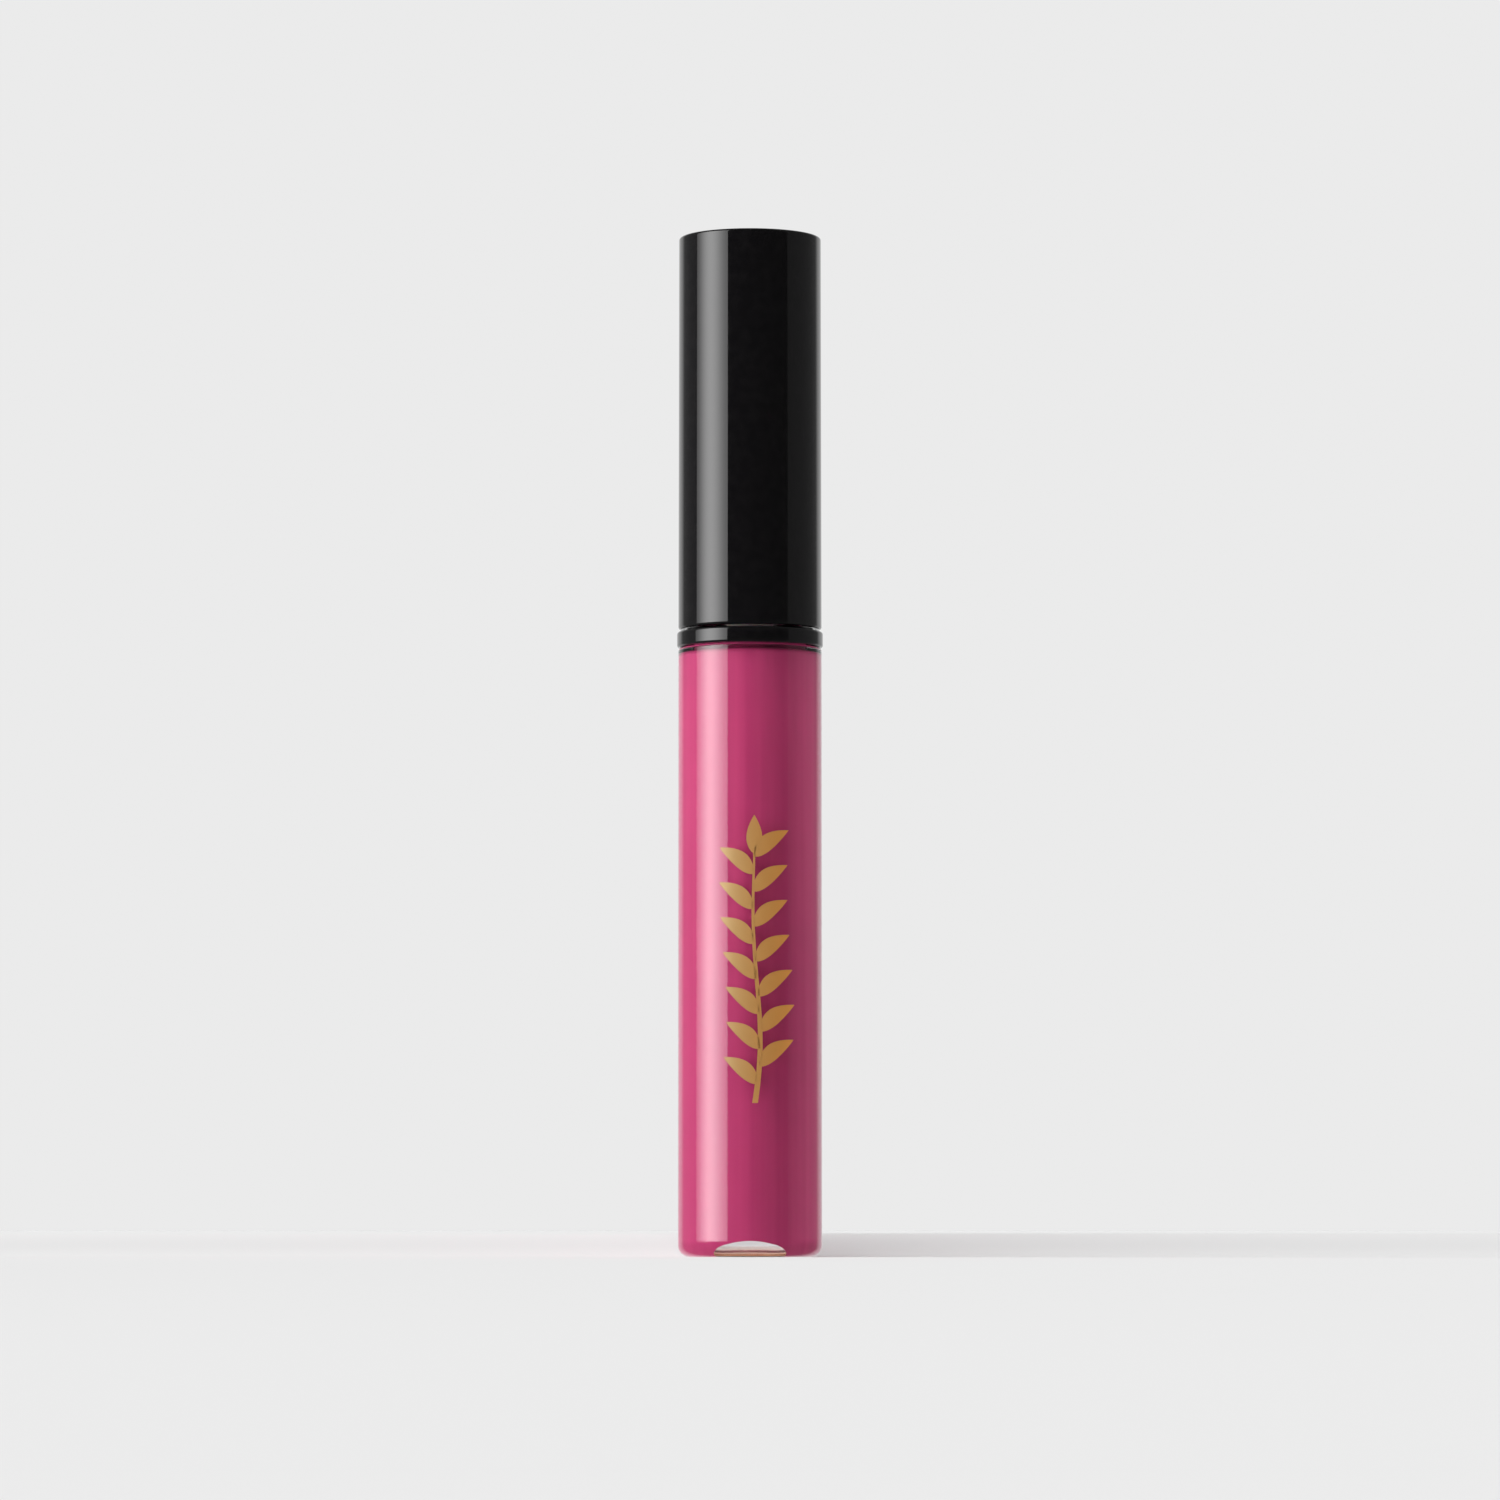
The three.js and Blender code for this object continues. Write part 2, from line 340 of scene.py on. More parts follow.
def trace(name: str, points: list[Point], depth: float) -> Object:
    """Traces a chain of edges through points in an upright plane.

    Args:
        name: the object's name.
        points: the chain, as (X, Z); it may end where it starts.
        depth: the plane's place along Y.

    Returns:
        The mesh object, at the origin.
    """
    piece = add(name, bpy.ops.mesh.primitive_plane_add, size=MM, location=(points[0][0], depth, points[0][1]))
    bpy.ops.object.transform_apply()
    with editing(piece):
        bpy.ops.mesh.merge(type="CENTER")
        for start, end in zip(points, points[1:]):
            step = (end[0] - start[0], 0.0, end[1] - start[1])
            bpy.ops.mesh.extrude_vertices_move(TRANSFORM_OT_translate={"value": step})
        bpy.ops.mesh.select_all(action="SELECT")
        bpy.ops.mesh.remove_doubles(threshold=WELD)
    return piece


def turn(name: str, outline: Outline, facets: int = 128) -> Object:
    """Turns an outline about the Z axis into a closed solid.

    Args:
        name: the piece's name.
        outline: half its section.
        facets: steps round the axis.

    Returns:
        The mesh object, at the origin.
    """
    piece = trace(name, outline.points(), 0.0)
    with editing(piece):
        bpy.ops.mesh.spin(steps=facets, angle=FULL_TURN, center=(0, 0, 0), axis=(0, 0, 1))
    close_up(piece)
    return piece


@dataclass(frozen=True)
class Thread:
    """A right-hand thread ridge with a round section."""

    start: float = 72.8 * MM
    lead: float = 2.4 * MM
    half_turns: int = 3
    section: float = 0.5 * MM
    steps_per_half_turn: int = 40
    section_sides: int = 16

    def ridge(self, name: str, centre_radius: float, lift: float = 0.0) -> Object:
        """Models the ridge as a closed solid.

        Args:
            name: the object's name.
            centre_radius: from the axis to the middle of the section.
            lift: how far the ridge is moved up.

        Returns:
            The mesh object.
        """
        ridge = add(
            name,
            bpy.ops.mesh.primitive_circle_add,
            vertices=self.section_sides,
            radius=self.section,
            location=(centre_radius, 0.0, self.start + lift),
            rotation=(QUARTER_TURN, 0.0, 0.0),
        )
        bpy.ops.object.transform_apply()
        apply_modifier(
            ridge,
            "SCREW",
            axis="Z",
            angle=math.pi,
            iterations=self.half_turns,
            screw_offset=self.lead / 2,
            steps=self.steps_per_half_turn,
            render_steps=self.steps_per_half_turn,
        )
        with editing(ridge):
            bpy.ops.mesh.fill_holes(sides=0)
        close_up(ridge)
        return ridge


# ---- Finishes ----


class NodeBench:
    """A node tree being made: its nodes, and the few patterns that the finishes share."""

    def __init__(self, tree: bpy.types.NodeTree, coordinates: str) -> None:
        """Starts on a tree, with the coordinates that its patterns read."""
        self.tree = tree
        self.place = self.node("ShaderNodeTexCoord").outputs[coordinates]

    def feed(self, target: Socket, value: object) -> None:
        """Links a socket, or gives it its value.

        Args:
            target: the input socket.
            value: the socket that it reads, or its number, vector or colour.
        """
        if isinstance(value, Socket):
            self.tree.links.new(value, target)
        else:
            target.default_value = (*value, 1.0) if target.type == "RGBA" else value

    def node(
        self, kind: str, inputs: dict[str | int, object] | None = None, **values: object
    ) -> bpy.types.Node:
        """Adds a node.

        Args:
            kind: the node's type.
            inputs: what its input sockets are fed, by name or place.
            **values: its own settings.

        Returns:
            The node.
        """
        made = self.tree.nodes.new(kind)
        for name, value in values.items():
            setattr(made, name, value)
        for name, value in (inputs or {}).items():
            self.feed(made.inputs[name], value)
        return made

    def stretched(self, scale: Triple) -> Socket:
        """The tree's coordinates, scaled by a factor along each axis."""
        return self.node("ShaderNodeMapping", {"Vector": self.place, "Scale": scale}).outputs["Vector"]

    def noise(
        self, scale: float, detail: float = 2.0, where: Socket | None = None
    ) -> Socket:
        """Cloudy noise.

        Args:
            scale: cycles per metre.
            detail: how many finer layers it has.
            where: the coordinates, or the tree's own.

        Returns:
            The noise value, about 0.5 in the mean.
        """
        inputs = {"Scale": scale, "Detail": detail, "Vector": where or self.place}
        return self.node("ShaderNodeTexNoise", inputs).outputs["Fac"]

    def spread(
        self, source: Socket, span: Point, result: Point, course: Course = Course.STRAIGHT
    ) -> Socket:
        """Maps a span of values to another, clamped.

        Args:
            source: the value.
            span: its low and high end.
            result: what the two ends become.
            course: how it runs between them.

        Returns:
            The mapped value.
        """
        ends = dict(zip(("From Min", "From Max", "To Min", "To Max"), (*span, *result)))
        mapped = self.node("ShaderNodeMapRange", {"Value": source, **ends}, interpolation_type=course.value)
        return mapped.outputs["Result"]

    def eased(self, source: Socket, span: Point, result: Point) -> Socket:
        """Maps a span of values to another, clamped, with soft ends."""
        return self.spread(source, span, result, Course.EASED)

    def mix(
        self, share: Socket, low: Colour | Socket, high: Colour
    ) -> Socket:
        """Mixes two colours, from the low one at share 0 to the high one at share 1."""
        inputs = {"Factor": share, "A": low, "B": high}
        return self.node("ShaderNodeMix", inputs, data_type="RGBA").outputs["Result"]

    def axis(self, name: str) -> Socket:
        """One coordinate: X, Y or Z."""
        return self.node("ShaderNodeSeparateXYZ", {"Vector": self.place}).outputs[name]

    def math(self, operation: str, *operands: Socket | float) -> Socket:
        """Works out a sum on sockets or numbers."""
        return self.node("ShaderNodeMath", dict(enumerate(operands)), operation=operation).outputs["Value"]


class Paintbox(NodeBench):
    """A material being made, round its Principled surface."""

    def __init__(self, name: str) -> None:
        """Starts a material.

        Args:
            name: its name.
        """
        self.material = bpy.data.materials.new(name)
        self.material.use_nodes = True
        super().__init__(self.material.node_tree, "Object")
        self.surface = self.tree.nodes["Principled BSDF"]

    def set(self, **values: object) -> None:
        """Feeds the surface's own sockets; an underscore stands for a space in a socket's name."""
        for name, value in values.items():
            self.feed(self.surface.inputs[name.replace("_", " ")], value)

    def tint(self, pattern: Socket, span: Point, low: Colour, high: Colour) -> None:
        """Colours the surface from the low to the high colour as a pattern crosses a span."""
        self.set(Base_Color=self.mix(self.spread(pattern, span, (0.0, 1.0)), low, high))

    def relief(self, height: Socket, depth: float) -> None:
        """Roughens the surface's shape by a pattern from 0 to 1 that goes to a depth in metres."""
        bump = self.node("ShaderNodeBump", {"Strength": 1.0, "Distance": depth, "Height": height})
        self.set(Normal=bump.outputs["Normal"])

    def show(self, shader: Socket) -> None:
        """Puts another shader in the surface's place."""
        self.feed(self.tree.nodes["Material Output"].inputs["Surface"], shader)


@dataclass(frozen=True)
class Finish:
    """A finish and its material's name; the scales of its patterns are in cycles per metre."""

    name: str

    def make(self) -> Material:
        """Makes the material.

        Returns:
            The material.
        """
        box = Paintbox(self.name)
        self.paint(box)
        return box.material

    def paint(self, box: Paintbox) -> None:
        """Paints the surface, each finish in its own way."""
        raise NotImplementedError


@dataclass(frozen=True)
class PolishedPlastic(Finish):
    """Opaque moulded plastic with a polished skin, faint ripple and hairline handling marks."""

    colour: Colour
    dust: Colour
    roughness: Point
    ior: float = 1.5
    wear: float = 900.0
    hairlines: float = 2600.0
    ripple: float = 350.0
    ripple_depth: float = 0.0004 * MM

    def paint(self, box: Paintbox) -> None:
        """Paints dust and wear, and roughens the skin where wear and hairlines meet.

        Args:
            box: the material being made.
        """
        wear = box.noise(self.wear, 3.0)
        marks = box.math("MULTIPLY", wear, box.noise(self.hairlines, 2.0, box.stretched((1.0, 1.0, 0.06))))
        box.set(IOR=self.ior, Roughness=box.spread(marks, (0.16, 0.42), self.roughness))
        box.tint(wear, (0.4, 0.75), self.colour, self.dust)
        box.relief(box.noise(self.ripple, 1.0), self.ripple_depth)


@dataclass(frozen=True)
class ClearPlastic(Finish):
    """Water-clear moulded plastic that light passes through."""

    colour: Colour
    ior: float
    roughness: Point
    wear: float = 1400.0

    def paint(self, box: Paintbox) -> None:
        """Paints the clear skin; light for shadows goes straight through it.

        Args:
            box: the material being made.
        """
        wear = box.noise(self.wear, 3.0, box.stretched((1.0, 1.0, 0.2)))
        box.set(IOR=self.ior, Transmission_Weight=1.0, Base_Color=self.colour)
        box.set(Roughness=box.spread(wear, (0.45, 0.8), self.roughness))
        shadow = box.node("ShaderNodeLightPath").outputs["Is Shadow Ray"]
        through = box.node("ShaderNodeBsdfTransparent", {"Color": self.colour}).outputs["BSDF"]
        choice = box.node("ShaderNodeMixShader", {"Fac": shadow, 1: box.surface.outputs["BSDF"], 2: through})
        box.show(choice.outputs["Shader"])


@dataclass(frozen=True)
class CreamGloss(Finish):
    """Thick, opaque lip gloss: creamy pigment with slow swirls and fine streaks."""

    colour: Colour
    swirl: Colour
    roughness: float
    ior: float = 1.2
    swirls: float = 160.0
    streaks: float = 900.0

    def paint(self, box: Paintbox) -> None:
        """Paints the swirls, drawn out along the tube.

        Args:
            box: the material being made.
        """
        box.set(IOR=self.ior, Roughness=self.roughness)
        slow = box.noise(self.swirls, 3.0, box.stretched((1.0, 1.0, 0.35)))
        streaks = box.noise(self.streaks, 2.0, box.stretched((1.0, 1.0, 0.012)))
        pattern = box.math("ADD", box.math("MULTIPLY", slow, 0.4), box.math("MULTIPLY", streaks, 0.6))
        box.tint(pattern, (0.38, 0.62), self.colour, self.swirl)


@dataclass(frozen=True)
class GlancingGloss(Finish):
    """Gloss pressed on clear plastic where it is met at a glancing angle, made a peach metal mirror: its
    reflections are rendered, their warm tint is painted reflection colour.
    """

    colour: Colour
    swirl: Colour
    roughness: float
    patches: float = 700.0

    def paint(self, box: Paintbox) -> None:
        """Paints the peach mirror tint in patches, a painted reflection colour.

        Args:
            box: the material being made.
        """
        # painted reflection: a peach metal mirror stands in for the gloss's own pink
        box.set(Metallic=1.0, Roughness=self.roughness)
        box.tint(box.noise(self.patches, 3.0), (0.35, 0.65), self.colour, self.swirl)


@dataclass(frozen=True)
class SoftMoulding(Finish):
    """Waxy natural plastic or rubber, a little translucent, with a fine moulded grain."""

    colour: Colour
    shade: Colour
    roughness: float
    grain: float = 3000.0
    depth: float = 0.01 * MM
    subsurface: float = 0.0
    roughness_spread: float = 0.15

    def paint(self, box: Paintbox) -> None:
        """Paints the grain.

        Args:
            box: the material being made.
        """
        fine = box.noise(self.grain, 3.0)
        roughness = box.spread(fine, (0.2, 0.8), (self.roughness, self.roughness + self.roughness_spread))
        box.set(Subsurface_Weight=self.subsurface, Subsurface_Scale=MM, Roughness=roughness)
        box.tint(fine, (0.3, 0.7), self.colour, self.shade)
        box.relief(fine, self.depth)


@dataclass(frozen=True)
class WetRod(Finish):
    """Black wand plastic with a streaky film of gloss on the length that stands in the bottle."""

    plastic: Colour
    film: Colour
    film_top: float
    film_fade: float
    streaks: float = 900.0
    film_depth: float = 0.03 * MM

    def paint(self, box: Paintbox) -> None:
        """Paints the film, which thins out upwards.

        Args:
            box: the material being made.
        """
        streaks = box.noise(self.streaks, 2.0, box.stretched((1.0, 1.0, 0.05)))
        height = box.spread(box.axis("Z"), (self.film_top - self.film_fade, self.film_top), (1.0, 0.0))
        share = box.math("MULTIPLY", height, box.spread(streaks, (0.3, 0.65), (0.6, 0.95)))
        roughness = box.spread(share, (0.0, 1.0), (0.22, 0.08))
        box.set(Base_Color=box.mix(share, self.plastic, self.film), Roughness=roughness)
        box.relief(share, self.film_depth)


@dataclass(frozen=True)
class Flock(Finish):
    """Short nylon flock soaked with gloss."""

    colour: Colour
    tip: Colour
    fibres: float = 9000.0
    depth: float = 0.04 * MM

    def paint(self, box: Paintbox) -> None:
        """Paints the fibres and their sheen.

        Args:
            box: the material being made.
        """
        box.set(Sheen_Weight=0.5, Sheen_Roughness=0.4, Roughness=0.75)
        fibres = box.noise(self.fibres, 2.0)
        box.tint(fibres, (0.35, 0.65), self.colour, self.tip)
        box.relief(fibres, self.depth)


@dataclass(frozen=True)
class StampedFoil(Finish):
    """Hot-stamped metal foil with a fine grain; its tint changes across the front, from pale khaki at the
    left to ochre at the right, as painted light and shade.
    """

    left: Colour
    right: Colour
    span: Point
    grain: float = 5000.0
    depth: float = 0.004 * MM

    def paint(self, box: Paintbox) -> None:
        """Paints the grain, and the tint that changes across the front as painted light and shade.

        Args:
            box: the material being made.
        """
        grain = box.noise(self.grain, 3.0)
        box.set(Metallic=0.2, Roughness=box.spread(grain, (0.3, 0.7), (0.3, 0.5)))
        # painted light and shade: the tint runs from pale khaki at the left to ochre at the right
        box.tint(box.axis("X"), self.span, self.left, self.right)
        box.relief(grain, self.depth)


@dataclass(frozen=True)
class MattPaper(Finish):
    """Matt studio paper, painted darker in the middle of its slope than on the flat: painted shade."""

    flat: float
    # tone of the painted shade on the slope
    slope: float
    start: float
    run: float
    clouds: float = 3.0

    def paint(self, box: Paintbox) -> None:
        """Paints the paper's tone, with painted shade eased from the flat to the middle of the slope and back
        along Y.

        Args:
            box: the material being made.
        """
        depth = box.axis("Y")
        middle = self.start + self.run / 2
        before = box.eased(depth, (self.start, middle), (1.0, 0.0))
        behind = box.eased(depth, (middle, self.start + self.run), (0.0, 1.0))
        clouds = box.spread(box.noise(self.clouds), (0.0, 1.0), (0.9, 1.0))
        unshaded_share = box.math("MULTIPLY", box.math("MAXIMUM", before, behind), clouds)
        box.set(Roughness=1.0, Specular_IOR_Level=0.0)
        # painted shade: the slope's darker tone, which also deepens the shadow cast on it
        box.set(Base_Color=box.mix(unshaded_share, (self.slope,) * 3, (self.flat,) * 3))


# ---- Bottle ----


@dataclass
class Bottle:
    """Clear bottle with its domed foot and threaded neck, the gloss in it, and the foil ornament on it."""

    shell: Extent
    neck_top: float
    wall: float = 1.8 * MM
    base_corner: float = 1.3 * MM
    punt_radius: float = 3.7 * MM
    punt_radius: float = 3.7 * MM
    punt_height: float = 0.35 * MM
    punt_edge: float = 0.2 * MM
    cavity_floor: float = 0.8 * MM
    cavity_corner: float = 1.2 * MM
    weld_top: float = 1.8 * MM
    weld_half_width: float = 6.0 * MM
    weld_root: float = 0.4 * MM
    weld_gap: float = 0.05 * MM
    weld_steps: int = 48
    shoulder: float = 67.7 * MM
    shoulder_thickness: float = 0.5 * MM
    seat_radius: float = 5.95 * MM
    seat_top: float = 69.45 * MM
    neck_radius: float = 5.2 * MM
    neck_bore: float = 3.9 * MM
    edge: float = 0.3 * MM
    thread: Thread = Thread()
    thread_crest: float = 5.9 * MM
    wet_overlap: float = 0.02 * MM
    channel_radius: float = 2.6 * MM
    channel_bottom: float = 6.4 * MM
    fill_top: float = 69.0 * MM

    def build(self) -> None:
        """Builds the bottle's pieces."""
        clear = ClearPlastic("clear_petg", (0.97, 0.965, 0.97), 1.57, (0.0, 0.03)).make()
        cream = CreamGloss("cream_gloss", (0.37, 0.0315, 0.117), (0.42, 0.041, 0.136), 0.45).make()
        # peach mirror tint on the gloss over the weld: painted reflection colour
        pressed = GlancingGloss("glancing_gloss_painted_reflection", (0.95, 0.62, 0.42), (0.90, 0.50, 0.36), 0.12).make()
        bottle, fill = self.glass(), self.gloss()
        settle(bottle, Body.BOTTLE, "clear_plastic", clear, "bottle")
        settle(fill, Body.BOTTLE, "pink_gloss", cream, "gloss_fill")
        self.line_weld(fill, pressed)
        FoilSprig(self.shell.radius).build(bottle)

    def glass(self) -> Object:
        """Turns the bottle and joins its weld ridge and its thread to it.

        Returns:
            The bottle.
        """
        outer, cavity = self.shell.radius, self.shell.radius - self.wall
        outline = Outline(steps=8).dome(self.punt_radius, self.punt_height).through(
            (self.punt_radius, 0.0, self.punt_edge),
            (outer, 0.0, self.base_corner),
            (outer, self.shoulder, self.edge),
            (self.seat_radius, self.shoulder),
            (self.seat_radius, self.seat_top, self.edge / 2),
            (self.neck_radius, self.seat_top + self.edge),
            (self.neck_radius, self.neck_top, self.edge),
            (self.neck_bore, self.neck_top, self.edge / 2),
            (self.neck_bore, self.shoulder - self.edge, self.edge),
            (cavity, self.shoulder - self.shoulder_thickness, self.shoulder_thickness),
            (cavity, self.cavity_floor, self.cavity_corner),
            (0.0, self.cavity_floor),
        )
        bottle = turn("bottle_clear", outline)
        combine(bottle, Meeting.JOIN, self.weld_ridge())
        thread = self.thread.ridge("neck_thread", self.thread_crest - self.thread.section)
        combine(bottle, Meeting.JOIN, thread)
        return bottle

    def weld_bar(self, lift: float) -> Object:
        """Models a bar with the weld's bell-shaped section, front to back, longer than the bottle is wide.

        Args:
            lift: how far its arch stands above the weld's own.

        Returns:
            The bar.
        """
        base = self.cavity_floor - self.weld_gap
        section = [(-self.weld_half_width, self.weld_root), (self.weld_half_width, self.weld_root)]
        for index in range(self.weld_steps + 1):
            share = 1 - 2 * index / self.weld_steps
            rise = (self.weld_top - base) * math.cos(share * QUARTER_TURN) ** 2
            section.append((share * self.weld_half_width, base + rise + lift))
        length = 4 * self.shell.radius
        bar = trace("weld_bar", section + section[:1], -length / 2)
        with editing(bar):
            bpy.ops.mesh.edge_face_add()
            bpy.ops.mesh.extrude_region_move(TRANSFORM_OT_translate={"value": (0.0, length, 0.0)})
        close_up(bar)
        return bar

    def line_weld(self, fill: Object, finish: Material) -> None:
        """Gives the gloss that lies on the weld its own finish, a peach mirror whose tint is a painted
        reflection, seen only through the clear foot.

        Args:
            fill: the finished gloss.
            finish: the peach mirror finish, a painted reflection, where the gloss lies on the weld.
        """
        fill.data.materials.append(finish)
        flat = self.shell.radius - self.wall - self.cavity_corner
        for face in fill.data.polygons:
            place = face.center
            if self.cavity_floor < place.z < self.weld_top and place.xy.length < flat:
                face.material_index = 1

    def weld_ridge(self) -> Object:
        """Models the ridge that the mould's parting leaves across the cavity floor.

        Returns:
            The ridge, its ends inside the wall and its root inside the floor.
        """
        middle_of_wall, top = self.shell.radius - self.wall / 2, self.weld_top + MM
        foot = ((0.0, self.weld_root), (middle_of_wall, self.weld_root), (middle_of_wall, top), (0.0, top))
        ridge = turn("weld_ridge", Outline().through(*foot))
        combine(ridge, Meeting.SHARE, self.weld_bar(0.0))
        return ridge

    def gloss(self) -> Object:
        """Turns the gloss round the channel of the wand; it wets the wall, so it reaches just into it.

        Returns:
            The gloss.
        """
        outer = self.shell.radius - self.wall + self.wet_overlap
        floor = self.cavity_floor - self.wet_overlap
        ceiling = self.shoulder - self.shoulder_thickness + self.wet_overlap
        neck = self.neck_bore + self.wet_overlap
        outline = Outline(steps=8).through(
            (0.0, floor),
            (outer, floor, self.cavity_corner),
            (outer, ceiling, self.shoulder_thickness),
            (neck, self.shoulder - self.edge, self.edge),
            (neck, self.fill_top, self.edge),
            (self.channel_radius, self.fill_top - self.edge, self.edge),
            (self.channel_radius, self.channel_bottom, self.edge),
            (0.0, self.channel_bottom),
        )
        gloss = turn("gloss_cream", outline)
        combine(gloss, Meeting.CUT, self.weld_bar(-self.wet_overlap))
        return gloss


@dataclass
class FoilSprig:
    """A generic leafy sprig in gold foil, laid on the front of the bottle."""

    radius: float
    bottom: float = 16.9 * MM
    top: float = 48.6 * MM
    centre: float = 0.55 * MM
    half_width: float = 3.75 * MM
    pairs: int = 7
    first_pair: float = 0.55
    stem_width: float = 0.5 * MM
    stem_foot: float = 1.25
    stem_taper: float = 0.8
    stem_stop: float = 0.8
    sway: float = 0.75 * MM
    leaf_width: float = 1.75 * MM
    leaf_tilt: float = 52.0
    leaf_curl: float = 0.35 * MM
    leaf_belly: float = 0.8
    leaf_fullness: float = 0.85
    leaf_end: float = 0.02
    bud_size: float = 0.9
    thickness: float = 0.012 * MM
    rows: int = 16
    columns: int = 6

    def build(self, bottle: Object) -> None:
        """Draws the sprig flat in front of the bottle and lays it on the wall.

        Args:
            bottle: the object that it is stamped on.
        """
        span = (self.centre - self.half_width, self.centre + self.half_width)
        # the foil's left and right tints are painted light and shade across its front
        foil = StampedFoil("gold_foil", (0.46, 0.31, 0.13), (0.86, 0.36, 0.07), span).make()
        bud_length = self.leaf_length * self.bud_size
        parts = [self.stem(), self.blade("bud", self.top - bud_length, bud_length, 0.0)]
        pitch = (self.top - self.bottom - self.leaf_length) / self.pairs
        for index in range(self.pairs):
            height = self.bottom + pitch * (index + self.first_pair)
            for side, base in ((-1, height), (1, height + pitch / 2)):
                tilt = side * self.leaf_tilt
                parts.append(self.blade(f"leaf_{index}_{side}", base, self.leaf_length, tilt))
        sprig = parts[0]
        pick(sprig)
        for part in parts:
            part.select_set(True)
        bpy.ops.object.join()
        sprig.name = sprig.data.name = "foil_sprig"
        apply_modifier(
            sprig,
            "SHRINKWRAP",
            target=bottle,
            wrap_method="PROJECT",
            use_project_y=True,
            use_negative_direction=False,
            use_positive_direction=True,
            offset=self.thickness,
        )
        apply_modifier(sprig, "SOLIDIFY", thickness=self.thickness, offset=0.0)
        settle(sprig, Body.BOTTLE, "clear_plastic", foil)

    @property
    def leaf_length(self) -> float:
        """A leaf's length, from the sprig's half width."""
        return self.half_width / math.sin(math.radians(self.leaf_tilt))

    def wander(self, height: float) -> float:
        """How far the stem is from the middle at a height."""
        share = (height - self.bottom) / (self.top - self.bottom)
        return self.centre + self.sway * math.sin(FULL_TURN * share) * (1 - share)

    def grid(self, name: str, width: float, length: float, rows: int) -> Object:
        """Adds an upright grid that stands on the origin.

        Args:
            name: the object's name.
            width: its width.
            length: its height.
            rows: its rows of faces.

        Returns:
            The mesh object.
        """
        counts = {"x_subdivisions": self.columns, "y_subdivisions": rows}
        part = add(name, bpy.ops.mesh.primitive_grid_add, size=1.0, **counts)
        part.scale = (width, length, 1.0)
        part.location = (0.0, 0.0, length / 2)
        part.rotation_euler = (QUARTER_TURN, 0.0, 0.0)
        bpy.ops.object.transform_apply()
        return part

    def shape_rows(self, part: Object, length: float, rows: int, form: Callable[[float], Point]) -> None:
        """Gives each row of a grid its own width and sideways shift.

        Args:
            part: the grid.
            length: its height.
            rows: its rows of faces.
            form: gives the width factor and the shift for a share of the height.
        """
        for row in range(rows + 1):
            height = length * row / rows
            select_where(part, lambda co, level=height: abs(co.z - level) < WELD * 10)
            factor, shift = form(row / rows)
            with editing(part, everything=False):
                bpy.ops.transform.resize(value=(factor, 1.0, 1.0), center_override=(0.0, 0.0, height))
                bpy.ops.transform.translate(value=(shift, 0.0, 0.0))

    def stem(self) -> Object:
        """Models the swaying stem, thick at the foot and fine at the top.

        Returns:
            The stem.
        """
        length = self.top - self.bottom - self.leaf_length * self.stem_stop
        rows = self.rows * 3
        part = self.grid("stem", self.stem_width, length, rows)

        def form(share: float) -> Point:
            """Finer towards the top, along the stem's sway."""
            return self.stem_foot - self.stem_taper * share, self.wander(self.bottom + share * length)

        self.shape_rows(part, length, rows, form)
        self.place(part, 0.0, self.bottom, 0.0)
        return part

    def blade(self, name: str, height: float, length: float, tilt: float) -> Object:
        """Models one leaf and sets it on the stem.

        Args:
            name: the leaf's name.
            height: where its foot is, upwards.
            length: its length.
            tilt: how far it leans to the right, in degrees.

        Returns:
            The leaf.
        """
        part = self.grid(name, self.leaf_width, length, self.rows)
        curl = math.copysign(self.leaf_curl, tilt) if tilt else 0.0

        def form(share: float) -> Point:
            """Widest below the middle and pointed at both ends, with a light upward curl."""
            bulge = math.sin(math.pi * share**self.leaf_belly) if 0 < share < 1 else 0.0
            return max(bulge**self.leaf_fullness, self.leaf_end), -curl * math.sin(math.pi * share)

        self.shape_rows(part, length, self.rows, form)
        self.place(part, self.wander(height), height, tilt)
        return part

    def place(self, part: Object, across: float, height: float, tilt: float) -> None:
        """Leans a flat part about its foot and moves it in front of the bottle's wall.

        Args:
            part: the flat part.
            across: where its foot goes, sideways.
            height: where its foot goes, upwards.
            tilt: how far it leans to the right, in degrees.
        """
        part.rotation_euler = (0.0, math.radians(tilt), 0.0)
        part.location = (across, -self.radius - MM, height)
        pick(part)
        bpy.ops.object.transform_apply()


# ---- Collar, neck fittings ----


@dataclass
class TrimCollar:
    """Glossy ring that sits on the shoulder, between bottle and cap."""

    ring: Extent
    bore: float = 6.05 * MM
    edge: float = 0.3 * MM

    def build(self, black: Material) -> None:
        """Turns the ring.

        Args:
            black: the polished black finish.
        """
        outline = Outline(closed=True, steps=8).through(
            (self.bore, self.ring.bottom, self.edge / 3),
            (self.ring.radius, self.ring.bottom, self.edge),
            (self.ring.radius, self.ring.top, self.edge),
            (self.bore, self.ring.top, self.edge / 3),
        )
        settle(turn("collar_trim", outline), Body.COLLAR, "black_trim", black, "collar")


